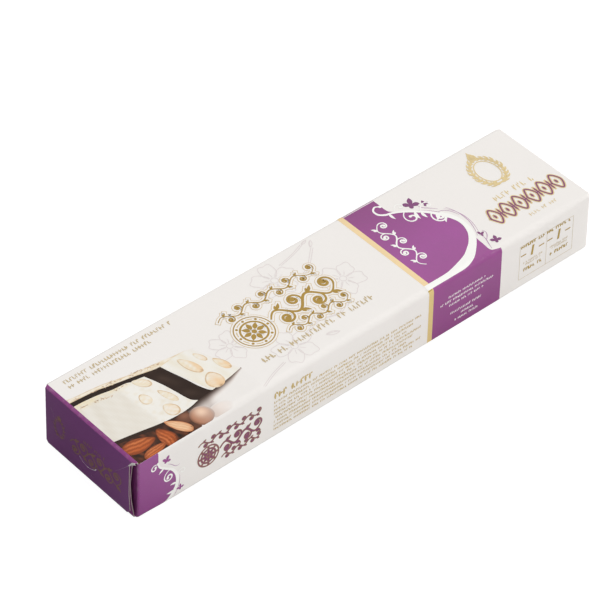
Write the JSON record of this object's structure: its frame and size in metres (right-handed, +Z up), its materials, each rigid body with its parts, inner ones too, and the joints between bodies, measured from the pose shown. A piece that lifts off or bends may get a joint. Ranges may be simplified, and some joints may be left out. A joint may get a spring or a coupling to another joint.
{
  "type": "nougat bar carton",
  "caption": "Shut folding carton of a nougat bar: a long, flat printed board box whose ends are closed by folded flaps, lying on its underside.",
  "frame": {"origin": "middle of the carton's underside", "axes": "+X along the carton, from the end with the crushed corner to the other end; -Y the side on which the end flaps show their cut edges; +Z up through the top panel"},
  "size_m": [0.2, 0.0454, 0.0251],
  "materials": {
    "printed_board": "satin"
  },
  "bodies": {
    "root": {"carton": "printed_board"}
  },
  "joints": []
}
